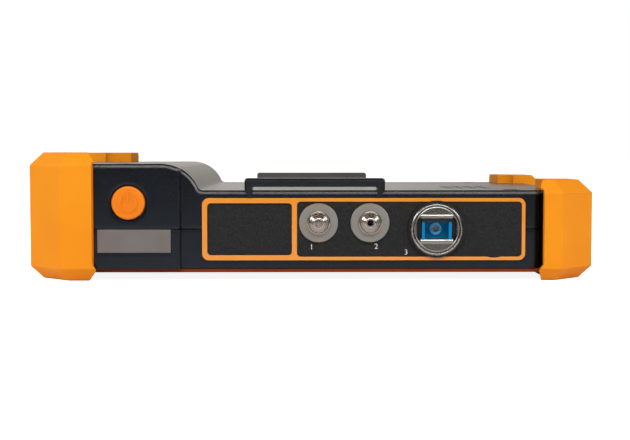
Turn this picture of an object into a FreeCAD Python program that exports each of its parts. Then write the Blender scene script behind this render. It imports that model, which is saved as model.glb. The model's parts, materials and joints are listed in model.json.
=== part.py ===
import FreeCAD, Part
import math
import os
import re
import Sketcher

# A tablet-style optical time domain reflectometer lying on its screen, back up.
# +X runs to the right seen from the connector edge, +Y away from it, +Z up out of the back.
# The origin is on the floor under the middle. All sizes are in millimetres.
# A size given as a formula keeps its place from the sizes it names.

SIZES = {
    # Outside, over the rubber corners, and the moulded body inside them
    "width": 220.5,
    "depth": 152,
    "bumper_side": 8.75,
    "bumper_end": 3,
    "body_corner": 14,
    "wall": 2.4,
    # Heights, from the floor up: lip under the screen side, trim, tray, back, battery bulge, top lips
    "lip_under": 3.1,
    "trim_thick": 1.5,
    "tray_height": 15.3,
    "back_height": 14.85,
    "step_rise": 10.2,
    "lip_over_left": 4.4,
    "lip_over_right": 3.9,
    # Slope from the battery bulge down to the thin part of the back
    "step_head": "-(width / 2 - 61.75)",
    "step_foot": "step_head + 5.1",
    "step_round": 15,
    "foot_round": 2,
    "edge_round": 0.9,
    # Connector side: the button block stands in front of the port face
    "block_edge": "-(width / 2 - 59.95)",
    "block_proud": 2.5,
    "block_bevel": 1.2,
    "port_end": "width / 2 - 21.65",
    "port_end_drop": 3.4,
    # Orange frame round the two port panels
    "frame_left": "-(width / 2 - 68.05)",
    "frame_right": "width / 2 - 28.05",
    "frame_low": 7.85,
    "frame_high": 31.8,
    "frame_bar": 1.95,
    "divider_bar": 1.95,
    "thin_bar": 1.35,
    "frame_lap": 1,
    "frame_corner": 2.6,
    "frame_proud": 1,
    "divider": "source_place - 10.25",
    "frame_notch": "frame_right - 12.1",
    "frame_notch_radius": 9.9,
    "notch_deep": 0.4,
    "panel_thick": 2.6,
    "panel_fit": 0.1,
    "blank_proud": 0.4,
    "panel_proud": 0.7,
    # Round adapters for 2.5 mm ferrules
    "source_place": "meter_place - 19.8",
    "meter_place": "plug_place - 25.6",
    "adapter_level": 22.3,
    "flange_radius": 7.5,
    "flange_thick": 1,
    "adapter_radius": 4.5,
    "adapter_nose": 2.7,
    "adapter_proud": 3.7,
    "adapter_length": 14,
    "neck_radius": 5.2,
    "ferrule_radius": 1.25,
    "sleeve_wall": 0.35,
    # Square plug port in its round well
    "plug_place": "frame_right - 34.25",
    "plug_level": 19.8,
    "collar_radius": 10.9,
    "ring_radius": 10.2,
    "ring_wall": 1.2,
    "ring_proud": 2.2,
    "plug_wide": 9.2,
    "plug_high": 7.6,
    "shroud_wall": 1.15,
    "housing_wide": 14.2,
    "housing_high": 13.6,
    "housing_proud": 1.8,
    "plug_deep": 5.2,
    "plug_length": 15,
    "plug_sleeve_radius": 2.35,
    # Power button and the plate below it
    "button_place": "-(width / 2 - 40.05)",
    "button_level": 30,
    "button_radius": 6.4,
    "button_proud": 1.2,
    "button_travel": 1,
    "button_gap": 0.3,
    "plate_left": "-(width / 2 - 27.95)",
    "plate_right": "plate_left + 28.3",
    "plate_low": 10.8,
    "plate_thick": 0.6,
    # Strap loops at both ends of the back
    "loop_left": "-(width / 2 - 84.35)",
    "loop_right": "width / 2 - 82.15",
    "loop_rise": 4.65,
    "loop_bar": 3.3,
    "loop_leg": 3,
    "loop_hang": 2.6,
    "loop_depth": 8,
    "loop_bevel": 0.9,
    "loop_lap": 1.6,
    # Rubber corners
    "facet": 14.5,
    "bevel_top": 5,
    "bevel_low": 4.8,
    "reach_near_left": 28.7,
    "reach_near_right": 23.7,
    "reach_far_left": 24.95,
    "reach_far_right": 20.1,
    "reach_side": 38,
    "lip_side": 18,
    "lip_far_side": 14,
    "lip_near": 14,
    "lip_far": 31,
    "lip_corner": 6,
    "lip_overhang": 2.2,
    "bumper_fit": 0.1,
    # Screen side
    "trim_inset": 2.8,
    "trim_wide": 4.2,
    "glass_left": "-(width / 2 - 20.25)",
    "glass_right": "width / 2 - 33.75",
    "glass_half": "depth / 2 - 16",
    "glass_thick": 1.4,
    "glass_sunk": 0.8,
    "glass_lap": 3,
    "display_thick": 4.9,
    # Column of keys beside the screen
    "key_place": "width / 2 - 23.75",
    "key_wide": 10.6,
    "key_high": 8.6,
    "key_pitch": 13,
    "key_count": 5,
    "key_round": 2,
    "key_proud": 1.1,
    "key_gap": 0.25,
    "key_flange": 0.8,
    "key_travel": 0.7,
    "light_radius": 1.1,
    # Boards and what they carry
    "board_thick": 1.6,
    "board_gap": 0.7,
    "board_level": "key_board_level + board_thick + board_gap",
    "board_half": "depth / 2 - 12",
    "board_left": "-(width / 2 - 54.25)",
    "board_right": "width / 2 - 41.75",
    "key_seat": "lip_under + trim_thick + wall + button_gap",
    "key_board_level": "key_seat + key_flange + key_travel + mat_gap + mat_thick",
    "key_board_left": "key_place - 7.5",
    "key_board_right": "key_place + 8.1",
    "mat_thick": 0.8,
    "mat_gap": 0.2,
    "module_left": "board_left + 50",
    "module_right": "board_right - 6.5",
    "module_near": "-(depth / 2 - 26)",
    "module_deep": "depth / 2 - 4",
    "module_high": 12,
    "coil_place": "board_left + 26",
    "coil_along": 6,
    "coil_radius": 22,
    "coil_high": 7,
    # Screws and their bosses
    "post_radius": 3.4,
    "small_post": 2.7,
    "well_radius": 4.3,
    "well_bore": 3.2,
    "shank_radius": 1.5,
    "small_shank": 1,
    "head_radius": 2.8,
    "small_head": 1.9,
    "head_thick": 2,
    "small_thick": 1,
    "thread_gap": 0.05,
    "screw_left": "-(width / 2 - 50.25)",
    "screw_right": "width / 2 - 32.25",
    "screw_half": "depth / 2 - 13",
    "seat_thick": 2.4,
    "post_engage": 8,
    "small_engage": 4,
    # Battery, its tray and door
    "door_left": "-(width / 2 - 20.25)",
    "door_right": "door_left + 30.4",
    "door_half": "depth / 2 - 22",
    "door_end": 8,
    "door_thick": 1.5,
    "door_gap": 0.25,
    "door_ledge": 1.6,
    "tray_wall": 1.5,
    "cell_thick": 19,
    "cell_gap": 0.3,
    # Side sockets behind a flap
    "bay_half": 32,
    "bay_low": 11.2,
    "bay_high": 26.4,
    "flap_thick": 2,
    "flap_gap": 0.3,
    "hinge_radius": 1.5,
    "hinge_pin": 0.75,
    "hinge_seat": 3,
    "socket_face": "width / 2 - 13.85",
    "socket_panel": 1.4,
    "lan_start": 5,
    "lan_wide": 16,
    "usb_start": 23,
    "usb_pitch": 15,
    "usb_wide": 13.2,
    "jack_start": 53,
    "jack_wide": 9,
    # Speaker slots
    "grille_left": "width / 2 - 55.25",
    "grille_near": "-(depth / 2 - 34)",
    "slot_long": 3.4,
    "slot_wide": 1.3,
    "slot_pitch_across": 5,
    "slot_pitch_along": 5,
}

doc = FreeCAD.newDocument("Reflectometer")
sheet = doc.addObject("Spreadsheet::Sheet", "Sizes")
for row, name in enumerate(SIZES, start=1):
    sheet.set(f"A{row}", name)
    sheet.setAlias(f"B{row}", name)
for row, size in enumerate(SIZES.values(), start=1):
    sheet.set(f"B{row}", f"={size}")
doc.recompute()

nodes = []


def bound(formula):
    """A formula with its size names turned into references to the sheet."""
    return re.sub(r"[a-z][a-z0-9_]*", lambda word: "Sizes." + word[0] if word[0] in SIZES else word[0],
                  formula)


def value(formula):
    """What a formula comes to now."""
    return float(sheet.evalExpression(bound(formula)))


def new_body(label, kept=True):
    """An empty body; a kept one becomes a node of its own."""
    body = doc.addObject("PartDesign::Body", label)
    body.Label = label
    if kept:
        nodes.append(body)
    return body


def new_sketch(body, plane, level, across="0", up="0"):
    """A sketch parallel to a main plane, at a level on that plane's axis, its origin moved across and up."""
    sketch = body.newObject("Sketcher::SketchObject", body.Name + "_sketch")
    support = next(item for item in body.Origin.OriginFeatures if item.Role == plane + "_Plane")
    sketch.AttachmentSupport = [(support, "")]
    sketch.MapMode = "FlatFace"
    sketch.setExpression("AttachmentOffset.Base.x", bound(across))
    sketch.setExpression("AttachmentOffset.Base.y", bound(up))
    sketch.setExpression("AttachmentOffset.Base.z", bound(f"-({level})" if plane == "XZ" else level))
    return sketch


def hold(sketch, kind, *items, formula):
    """A dimension that follows the sheet."""
    index = sketch.addConstraint(Sketcher.Constraint(kind, *items, value(formula)))
    sketch.setExpression(f"Constraints[{index}]", bound(formula))


def draw_circle(sketch, across, up, radius):
    """A circle fixed by its centre and radius."""
    centre = FreeCAD.Vector(value(across), value(up), 0)
    circle = sketch.addGeometry(Part.Circle(centre, FreeCAD.Vector(0, 0, 1), value(radius)), False)
    hold(sketch, "DistanceX", -1, 1, circle, 3, formula=across)
    hold(sketch, "DistanceY", -1, 1, circle, 3, formula=up)
    hold(sketch, "Radius", circle, formula=radius)


def draw_outline(sketch, corners):
    """A closed outline through corners (across, up) or (across, up, radius of its rounding)."""
    points = [FreeCAD.Vector(value(corner[0]), value(corner[1]), 0) for corner in corners]
    radii = [corner[2] if len(corner) > 2 else None for corner in corners]
    count = len(corners)
    arcs, starts, ends = {}, list(points), list(points)
    for i, radius in enumerate(radii):
        if radius is None:
            continue
        back = (points[i - 1] - points[i]).normalize()
        ahead = (points[(i + 1) % count] - points[i]).normalize()
        half = back.getAngle(ahead) / 2
        ends[i] = points[i] + back * (value(radius) / math.tan(half))
        starts[i] = points[i] + ahead * (value(radius) / math.tan(half))
        centre = points[i] + (back + ahead).normalize() * (value(radius) / math.sin(half))
        first, last = ends[i] - centre, starts[i] - centre
        clockwise = first.cross(last).z < 0
        if clockwise:
            first, last = last, first
        angles = [math.atan2(spoke.y, spoke.x) for spoke in (first, last)]
        circle = Part.Circle(centre, FreeCAD.Vector(0, 0, 1), value(radius))
        arcs[i] = (Part.ArcOfCircle(circle, *angles), clockwise)
    lines = []
    for start, end in zip(starts, ends[1:] + ends[:1]):
        lines.append(sketch.addGeometry(Part.LineSegment(start, end), False))
    for i, corner in enumerate(corners):
        before, after = lines[i - 1], lines[i]
        if i in arcs:
            arc, clockwise = arcs[i]
            bend = sketch.addGeometry(arc, False)
            tip = sketch.addGeometry(Part.Point(points[i]), True)
            sketch.addConstraint(Sketcher.Constraint("Tangent", before, 2, bend, 2 if clockwise else 1))
            sketch.addConstraint(Sketcher.Constraint("Tangent", bend, 1 if clockwise else 2, after, 1))
            sketch.addConstraint(Sketcher.Constraint("PointOnObject", tip, 1, before))
            sketch.addConstraint(Sketcher.Constraint("PointOnObject", tip, 1, after))
            hold(sketch, "Radius", bend, formula=corner[2])
            place = (tip, 1)
        else:
            sketch.addConstraint(Sketcher.Constraint("Coincident", before, 2, after, 1))
            place = (after, 1)
        hold(sketch, "DistanceX", -1, 1, *place, formula=corner[0])
        hold(sketch, "DistanceY", -1, 1, *place, formula=corner[1])


def box(left, right, low, high, radius=None):
    """The outline of a rectangle, its corners rounded when a radius is given."""
    corners = [(left, low), (right, low), (right, high), (left, high)]
    return [corner + (radius,) for corner in corners] if radius else corners


def extrude(kind, body, plane, low, high, *loops):
    """A Pad or Pocket between two levels; a loop is an outline, or a (across, up, radius) circle."""
    at_high = (plane == "XZ") == (kind == "Pad")
    sketch = new_sketch(body, plane, high if at_high else low)
    for loop in loops:
        if isinstance(loop, tuple):
            draw_circle(sketch, *loop)
        else:
            draw_outline(sketch, loop)
    feature = body.newObject("PartDesign::" + kind, body.Name + "_" + kind.lower())
    feature.Profile = sketch
    feature.setExpression("Length", bound(f"({high}) - ({low})"))
    return feature


def pad(body, plane, low, high, *loops):
    return extrude("Pad", body, plane, low, high, *loops)


def pocket(body, plane, low, high, *loops):
    return extrude("Pocket", body, plane, low, high, *loops)


def turn(kind, body, plane, level, across, up, corners):
    """A Revolution or Groove of an outline about the upright axis of its own sketch."""
    sketch = new_sketch(body, plane, level, across, up)
    draw_outline(sketch, corners)
    feature = body.newObject("PartDesign::" + kind, body.Name + "_" + kind.lower())
    feature.Profile = sketch
    feature.ReferenceAxis = (sketch, ["V_Axis"])
    feature.Angle = 360
    return feature


def soften(kind, body, size, chosen):
    """Fillet or Chamfer the edges of the body so far that the chosen test accepts."""
    doc.recompute()
    base = body.Tip
    edges = [f"Edge{n}" for n, edge in enumerate(base.Shape.Edges, start=1) if chosen(edge)]
    feature = body.newObject("PartDesign::" + kind, body.Name + "_" + kind.lower())
    feature.Base = (base, edges)
    feature.setExpression("Radius" if kind == "Fillet" else "Size", bound(size))


def repeat(body, feature, axis, length, count):
    """Copies of one feature in a row along an axis of its sketch."""
    pattern = body.newObject("PartDesign::LinearPattern", body.Name + "_pattern")
    pattern.Originals = [feature]
    pattern.Direction = (feature.Profile[0], [axis])
    pattern.setExpression("Length", bound(length))
    pattern.setExpression("Occurrences", bound(count))
    body.Tip = pattern


def group(label, bodies):
    """Several like solids as one node."""
    compound = doc.addObject("Part::Compound", label)
    compound.Label = label
    compound.Links = bodies
    nodes.append(compound)


def is_upright(edge):
    return all(abs(edge.tangentAt(place).z) > 0.99 for place in (edge.FirstParameter, edge.LastParameter))


def middle(edge):
    return edge.valueAt((edge.FirstParameter + edge.LastParameter) / 2)


def near_to(left, right):
    return abs(left - right) < 0.01


def lies_across(edge, level):
    """Whether a whole edge lies in the plane across the depth at one level."""
    spots = [edge.valueAt(edge.FirstParameter), middle(edge), edge.valueAt(edge.LastParameter)]
    return all(near_to(spot.y, level) for spot in spots)


# Levels and faces that several pieces share
SHELL = "(lip_under + trim_thick)"
FLOOR = f"({SHELL} + wall)"
PARTING = f"({SHELL} + tray_height)"
BACK = f"({PARTING} + back_height)"
BULGE = f"({BACK} + step_rise)"
CEILING = f"({BACK} - wall)"
HALF_X = "(width / 2 - bumper_side)"
HALF_Y = "(depth / 2 - bumper_end)"
BLOCK_FACE = f"(-{HALF_Y})"
PORT_FACE = f"({BLOCK_FACE} + block_proud)"
END_FACE = f"({PORT_FACE} + port_end_drop)"
CORNER_IN = "(body_corner - wall)"
PANEL_FACE = f"({PORT_FACE} - panel_proud)"
PLUG_MOUTH = f"({PANEL_FACE} - housing_proud)"
KEY_BOARD_TOP = "(key_board_level + board_thick)"
DOOR_MIDDLE = "((door_left + door_right) / 2)"
HINGE = (f"{HALF_X} - hinge_radius", "bay_high - flap_gap - hinge_radius")


def body_plan():
    """The plan of both shells, a rounded rectangle."""
    return box(f"-{HALF_X}", HALF_X, f"-{HALF_Y}", HALF_Y, "body_corner")


def port_relief():
    """What both shells lose in plan in front of the port face and of its right-hand end."""
    return [("block_edge - 4", f"{BLOCK_FACE} - 1"), ("block_edge - 4", BLOCK_FACE),
            ("block_edge - block_bevel", BLOCK_FACE), ("block_edge", f"{BLOCK_FACE} + block_bevel"),
            ("block_edge", PORT_FACE),
            ("port_end", PORT_FACE, "port_end_drop - 0.2"), ("port_end", END_FACE),
            (f"{HALF_X} + 1", END_FACE), (f"{HALF_X} + 1", f"{BLOCK_FACE} - 1")]


def cavity_plan():
    """The inside of both shells, one wall in from the plan and its relief."""
    inner_x, inner_y = f"({HALF_X} - wall)", f"({HALF_Y} - wall)"
    return [(f"-{inner_x}", f"-{inner_y}", CORNER_IN), ("block_edge - wall", f"-{inner_y}"),
            ("block_edge - wall", f"{PORT_FACE} + wall"), ("port_end - wall", f"{PORT_FACE} + wall"),
            ("port_end - wall", f"{END_FACE} + wall"), (inner_x, f"{END_FACE} + wall", f"{CORNER_IN} / 1.5"),
            (inner_x, inner_y, CORNER_IN), (f"-{inner_x}", inner_y, CORNER_IN)]


def screw_places():
    """Where the four long housing screws stand in plan."""
    return [(x, y) for x in ("screw_left", "screw_right") for y in ("-screw_half", "screw_half")]


def window(body, low, high):
    """Cut the opening behind the port frame out of a shell's wall."""
    pocket(body, "XZ", f"{PORT_FACE} - 1", f"{PORT_FACE} + wall + 1",
           box("frame_left + frame_lap", "frame_right - frame_lap", low, high))


def side_window(body, low, high):
    """Cut the socket bay's share out of the right-hand wall."""
    pocket(body, "YZ", f"{HALF_X} - wall - 1", f"{HALF_X} + 1", box("-bay_half", "bay_half", low, high))


def board_posts():
    """Where the main board is screwed down, outside the display."""
    rows = ("-board_half + 3.6", "board_half - 3.6")
    return [(x, y) for x in ("board_left + 4", "board_right - 4") for y in rows]


def key_hole(row, grow):
    """The outline of one key's hole, made wider by grow."""
    wide, high = f"(key_wide / 2 + {grow})", f"(key_high / 2 + {grow})"
    centre = f"(key_pitch * ({row} - (key_count - 1) / 2))"
    return box(f"key_place - {wide}", f"key_place + {wide}", f"{centre} - {high}", f"{centre} + {high}",
               "key_round")


def light_places():
    """The two indicator lights beyond the last key."""
    return [(x, "key_pitch * key_count / 2 + 3") for x in ("key_place - 3", "key_place + 1")]


def front_shell():
    """The tray on the screen side, with posts for the screws."""
    body = new_body("front_shell")
    pad(body, "XY", SHELL, PARTING, body_plan())
    pocket(body, "XY", f"{SHELL} - 1", f"{PARTING} + 1", port_relief())
    pocket(body, "XY", FLOOR, PARTING, cavity_plan())
    window(body, "frame_low + frame_lap", f"{PARTING} + 1")
    side_window(body, "bay_low", f"{PARTING} + 1")
    pocket(body, "XY", SHELL, f"{SHELL} + glass_sunk",
           box("glass_left", "glass_right", "-glass_half", "glass_half", "2"))
    pocket(body, "XY", SHELL, f"{FLOOR} + 1",
           box("glass_left + glass_lap", "glass_right - glass_lap", "-glass_half + glass_lap",
               "glass_half - glass_lap"))
    hole = pocket(body, "XY", SHELL, f"{FLOOR} + 1", key_hole("0", "key_gap"))
    repeat(body, hole, "V_Axis", "key_pitch * (key_count - 1)", "key_count")
    pocket(body, "XZ", BLOCK_FACE, f"{BLOCK_FACE} + plate_thick",
           box("plate_left", "plate_right", "plate_low", PARTING))
    pad(body, "XY", FLOOR, PARTING, *[(x, y, "post_radius") for x, y in screw_places()])
    pocket(body, "XY", f"{PARTING} - post_engage", PARTING,
           *[(x, y, "shank_radius + thread_gap") for x, y in screw_places()])
    pad(body, "XY", FLOOR, "board_level", *[(x, y, "small_post") for x, y in board_posts()])
    pocket(body, "XY", "board_level - small_engage", "board_level",
           *[(x, y, "small_shank + thread_gap") for x, y in board_posts()])
    pad(body, "XY", FLOOR, "key_board_level",
        *[("key_board_right - 3", y, "small_post") for y in ("-bay_half - 4", "bay_half + 4")])
    pocket(body, "XY", SHELL, f"{FLOOR} + 1",
           *[(x, y, "light_radius + panel_fit") for x, y in light_places()])


def top_edges(edge):
    """Whether an edge borders the upper surface of the back all round."""
    spots = [edge.valueAt(edge.FirstParameter), middle(edge), edge.valueAt(edge.LastParameter)]
    across = near_to(spots[0].x, spots[2].x) and abs(spots[1].y) < 1 and abs(spots[1].x) < value(HALF_X) - 1
    return min(spot.z for spot in spots) > value(BACK) - 0.1 and not is_upright(edge) and not across


def port_edges(edge):
    """Whether an edge is where the port face meets the upper surface."""
    spots = [edge.valueAt(edge.FirstParameter), middle(edge), edge.valueAt(edge.LastParameter)]
    on_face = all(near_to(spot.y, value(PORT_FACE)) for spot in spots)
    return on_face and not is_upright(edge) and min(spot.z for spot in spots) > value(BACK) - 0.1


def back_shell():
    """The deep moulding: battery bulge on the left, a sweeping step, the thin part on the right."""
    body = new_body("back_shell")
    pad(body, "XY", PARTING, BULGE, body_plan())
    pocket(body, "XZ", f"-{HALF_Y} - 1", f"{HALF_Y} + 1",
           [("step_head - 12", f"{BULGE} + 1"), ("step_head - 12", BULGE), ("step_head", BULGE, "step_round"),
            ("step_foot", BACK, "foot_round"), (f"{HALF_X} + 1", BACK), (f"{HALF_X} + 1", f"{BULGE} + 1")])
    soften("Fillet", body, "edge_round", top_edges)
    pocket(body, "XY", f"{PARTING} - 1", f"{BULGE} + 1", port_relief())
    soften("Fillet", body, "edge_round", port_edges)
    pocket(body, "XY", PARTING, CEILING, cavity_plan())
    inner_x, inner_y = f"({HALF_X} - wall)", f"({HALF_Y} - wall)"
    bulge_end = "(step_head - step_round * 0.65)"
    pocket(body, "XY", CEILING, f"{BULGE} - wall",
           [(f"-{inner_x}", f"-{inner_y}", CORNER_IN), (bulge_end, f"-{inner_y}"), (bulge_end, inner_y),
            (f"-{inner_x}", inner_y, CORNER_IN)])
    window(body, f"{PARTING} - 1", "frame_high - frame_lap")
    side_window(body, f"{PARTING} - 1", "bay_high")
    pocket(body, "XZ", "-bay_half - hinge_seat", "bay_half + hinge_seat", (*HINGE, "hinge_pin + thread_gap"))
    pocket(body, "XZ", f"{BLOCK_FACE} - 1", f"{BLOCK_FACE} + wall + 1",
           ("button_place", "button_level", "button_radius + button_gap"))
    battery_opening(body)
    for x, top in (("screw_left", BULGE), ("screw_right", BACK)):
        places = [(x, "-screw_half"), (x, "screw_half")]
        pad(body, "XY", PARTING, f"{top} - wall / 2", *[place + ("well_radius",) for place in places])
        pocket(body, "XY", f"{PARTING} + seat_thick", f"{top} + 1",
               *[place + ("well_bore",) for place in places])
    pocket(body, "XY", f"{PARTING} - 1", f"{PARTING} + seat_thick + 1",
           *[(x, y, "shank_radius + 0.2") for x, y in screw_places()])
    pocket(body, "XY", f"{CEILING} - 1", f"{BACK} + 1",
           *[(x, y, "small_shank + 0.2") for x, y in loop_screw_places()])
    speaker_slots(body)


def battery_opening(body):
    """The opening for the battery in the bulge, with a ledge and two bosses that carry the door."""
    lower = f"{BULGE} - wall"
    pad(body, "XY", f"{lower} - small_engage", lower,
        *[(DOOR_MIDDLE, y, "small_post") for y in door_screw_lines()])
    pocket(body, "XY", f"{BULGE} - door_thick", f"{BULGE} + 1",
           box("door_left", "door_right", "-door_half", "door_half", "3"))
    pocket(body, "XY", f"{lower} - 1", f"{BULGE} + 1",
           box("door_left + door_ledge", "door_right - door_ledge",
               "-door_half + door_end", "door_half - door_end",
               "1.5"))
    pocket(body, "XY", f"{lower} - small_engage - 1", f"{BULGE} + 1",
           *[(DOOR_MIDDLE, y, "small_shank + thread_gap") for y in door_screw_lines()])


def door_screw_lines():
    return ("-door_half + door_end * 0.4", "door_half - door_end * 0.4")


def speaker_slots(body):
    """Four columns of short rounded slots over the speaker."""
    half = "slot_wide / 2"
    slots = []
    for column in range(4):
        left = f"(grille_left + slot_pitch_across * {column})"
        slots.append(box(left, f"{left} + slot_long", f"grille_near - {half}", f"grille_near + {half}",
                         "slot_wide * 0.45"))
    row = pocket(body, "XY", f"{CEILING} - 1", f"{BACK} + 1", *slots)
    repeat(body, row, "V_Axis", "slot_pitch_along * 6", "7")


def front_trim():
    """The coloured rim that shows as a line under the tray."""
    body = new_body("front_trim")
    outer_x, outer_y = f"({HALF_X} - trim_inset)", f"({HALF_Y} - trim_inset)"
    pad(body, "XY", "lip_under", SHELL,
        box(f"-{outer_x}", outer_x, f"-{outer_y}", outer_y, "body_corner - trim_inset"),
        box(f"-{outer_x} + trim_wide", f"{outer_x} - trim_wide",
            f"-{outer_y} + trim_wide", f"{outer_y} - trim_wide",
            "body_corner - trim_inset - trim_wide"))


def screen():
    """Touch glass in its recess and the display module bonded behind it."""
    glass = new_body("touch_glass")
    gap = "door_gap"
    pad(glass, "XY", f"{SHELL} + glass_sunk - glass_thick", f"{SHELL} + glass_sunk",
        box(f"glass_left + {gap}", f"glass_right - {gap}", f"-glass_half + {gap}", f"glass_half - {gap}",
            "2"))
    display = new_body("display_module")
    edge = f"(glass_lap + {gap})"
    pad(display, "XY", f"{SHELL} + glass_sunk", f"{SHELL} + glass_sunk + display_thick",
        box(f"glass_left + {edge}", f"glass_right - {edge}", f"-glass_half + {edge}", f"glass_half - {edge}"))
    pocket(display, "XY", f"{SHELL} + glass_sunk + display_thick - 1.2",
           f"{SHELL} + glass_sunk + display_thick",
           box(f"glass_left + {edge} + 6", f"glass_right - {edge} - 6", f"-glass_half + {edge} + 6",
               f"glass_half - {edge} - 6", "2"))


def keys():
    """The column of keys, their rubber mat and the board they press on."""
    seat = "key_seat"
    for row in range(int(value("key_count"))):
        key = new_body(f"key_{row + 1}")
        pad(key, "XY", f"{SHELL} - key_proud", seat, key_hole(row, "0"))
        pad(key, "XY", seat, f"{seat} + key_flange", key_hole(row, "key_flange"))
        soften("Chamfer", key, "0.5", lambda edge: near_to(middle(edge).z, value(f"{SHELL} - key_proud")))
    reach = "(key_pitch * key_count / 2)"
    mat = new_body("key_mat")
    pad(mat, "XY", "key_board_level - mat_thick", "key_board_level",
        box("key_place - key_wide / 2 - 2", "key_board_right", f"-{reach}", f"{reach} - 1.5", "1"))
    board = new_body("key_board")
    pad(board, "XY", "key_board_level", KEY_BOARD_TOP,
        box("key_board_left", "key_board_right", "-bay_half - 8", "bay_half + 8", "1"))
    lights = []
    for x, y in light_places():
        guide = new_body("light_guide", kept=False)
        pad(guide, "XY", f"{SHELL} - 0.3", "key_board_level", (x, y, "light_radius"))
        lights.append(guide)
    group("light_guides", lights)


def bays(grow):
    """The outlines of the two openings of the port frame, made larger by grow."""
    corner = "frame_corner - frame_bar * 0.6"
    blank = box(f"frame_left + frame_bar - {grow}", f"divider + {grow}",
                f"frame_low + frame_bar - {grow}", f"frame_high - frame_bar + {grow}", corner)
    ports = box(f"divider + divider_bar - {grow}", f"frame_right - thin_bar + {grow}",
                f"frame_low + thin_bar - {grow}", f"frame_high - thin_bar + {grow}", corner)
    return blank, ports


def port_frame():
    """The raised coloured frame round both port panels."""
    body = new_body("port_frame")
    front, back = f"({PORT_FACE} - frame_proud)", f"({PORT_FACE} + wall)"
    pad(body, "XZ", front, PORT_FACE,
        box("frame_left", "frame_right", "frame_low", "frame_high", "frame_corner"))
    lap = "(frame_lap + panel_fit)"
    pad(body, "XZ", PORT_FACE, back,
        box(f"frame_left + {lap}", f"frame_right - {lap}", f"frame_low + {lap}", f"frame_high - {lap}"))
    pocket(body, "XZ", front, back, *bays("0"))
    pocket(body, "XZ", front, back, ("plug_place", "plug_level", "collar_radius + panel_fit"))
    pocket(body, "XZ", front, back, ("frame_notch", "frame_low + thin_bar - notch_deep + frame_notch_radius",
                                     "frame_notch_radius"))


def port_panels():
    """The blank panel of the unused bay and the panel that carries the three ports."""
    blank_bay, port_bay = bays("-panel_fit")
    blank = new_body("blank_panel")
    pad(blank, "XZ", f"{PORT_FACE} - blank_proud", f"{PORT_FACE} - blank_proud + panel_thick", blank_bay)
    panel = new_body("port_panel")
    back = f"({PANEL_FACE} + panel_thick)"
    pad(panel, "XZ", PANEL_FACE, back, port_bay)
    bay_low, tip = "frame_low + thin_bar + 1", "frame_low + thin_bar - notch_deep + panel_fit"
    pad(panel, "XZ", PANEL_FACE, back, [
        ("frame_notch - 3", bay_low), ("frame_notch - 1.6", tip), ("frame_notch + 1.6", tip),
        ("frame_notch + 3", bay_low)])
    pad(panel, "XZ", PANEL_FACE, back, ("plug_place", "plug_level", "collar_radius"))
    holes = [(place, "adapter_level", "neck_radius + panel_fit") for place in ("source_place", "meter_place")]
    pocket(panel, "XZ", PANEL_FACE, back, *holes, ("plug_place", "plug_level", "ring_radius + panel_fit"))


def ferrule_port(name, place):
    """A disc flange, a threaded adapter with a coned nose and the split sleeve that takes the ferrule."""
    flange = new_body(f"{name}_flange")
    front = f"({PANEL_FACE} - flange_thick)"
    pad(flange, "XZ", front, PANEL_FACE, (place, "adapter_level", "flange_radius"))
    pad(flange, "XZ", PANEL_FACE, f"{PANEL_FACE} + panel_thick", (place, "adapter_level", "neck_radius"))
    pocket(flange, "XZ", f"{front} - 1", f"{PANEL_FACE} + panel_thick + 1",
           (place, "adapter_level", "adapter_radius + thread_gap"))
    soften("Chamfer", flange, "0.25",
           lambda edge: near_to(middle(edge).y, value(front)) and
           math.hypot(middle(edge).x - value(place), middle(edge).z - value("adapter_level")) >
           value("adapter_radius") + 1)
    bore = "(ferrule_radius + sleeve_wall + thread_gap)"
    adapter = new_body(f"{name}_adapter")
    turn("Revolution", adapter, "XY", "adapter_level", place, front, [
        (bore, "1 - adapter_proud"), ("ferrule_radius + 0.25", "1 - adapter_proud"),
        ("ferrule_radius + 0.25", "-adapter_proud"), ("adapter_nose", "-adapter_proud"),
        ("adapter_nose + 0.3", "-adapter_proud * 0.6"), ("adapter_radius", "-adapter_proud * 0.35"),
        ("adapter_radius", "adapter_length - adapter_proud"), (bore, "adapter_length - adapter_proud")])
    sleeve = new_body(f"{name}_sleeve")
    mouth, tail = f"({front} - adapter_proud + 1)", f"({front} - adapter_proud + adapter_length)"
    pad(sleeve, "XZ", mouth, tail,
        (place, "adapter_level", "ferrule_radius + sleeve_wall"), (place, "adapter_level", "ferrule_radius"))


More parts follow.
